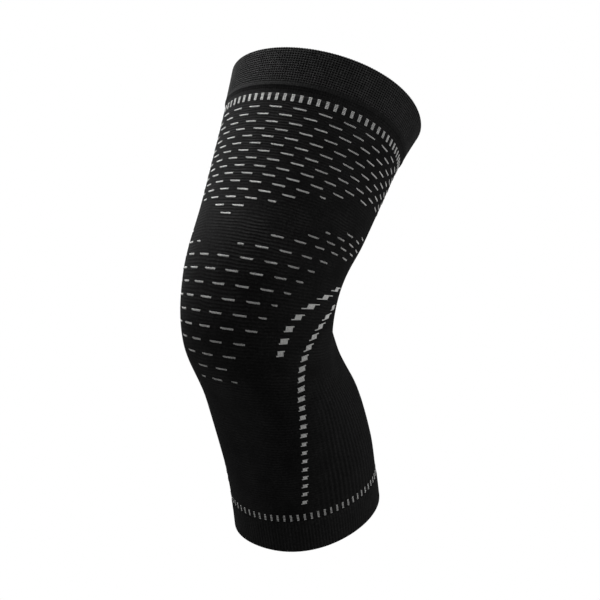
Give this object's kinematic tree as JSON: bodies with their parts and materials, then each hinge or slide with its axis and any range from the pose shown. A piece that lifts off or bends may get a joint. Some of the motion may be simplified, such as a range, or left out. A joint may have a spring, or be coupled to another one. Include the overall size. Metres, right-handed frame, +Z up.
{
  "type": "knee sleeve",
  "caption": "Knitted knee compression sleeve in the shape of a bent leg: a hollow tube with a wide cuff at the thigh and a narrower cuff at the calf.",
  "frame": {"origin": "the middle of the leg's line, inside the sleeve at the knee, where the leg holds it", "axes": "+Z up, -Y to the front of the knee, +X to the wearer's left; the thigh leans back to +Y and the shin leans back to +Y below the knee"},
  "size_m": [0.1318, 0.186, 0.3247],
  "materials": {
    "body_knit": "matt black plain knit with pale knitted-in marks",
    "thigh_welt_knit": "matt black waffle knit",
    "calf_welt_knit": "matt black fine ribbed knit"
  },
  "bodies": {
    "root": {"sleeve_body": "body_knit", "thigh_cuff": "thigh_welt_knit", "calf_cuff": "calf_welt_knit"}
  },
  "joints": []
}
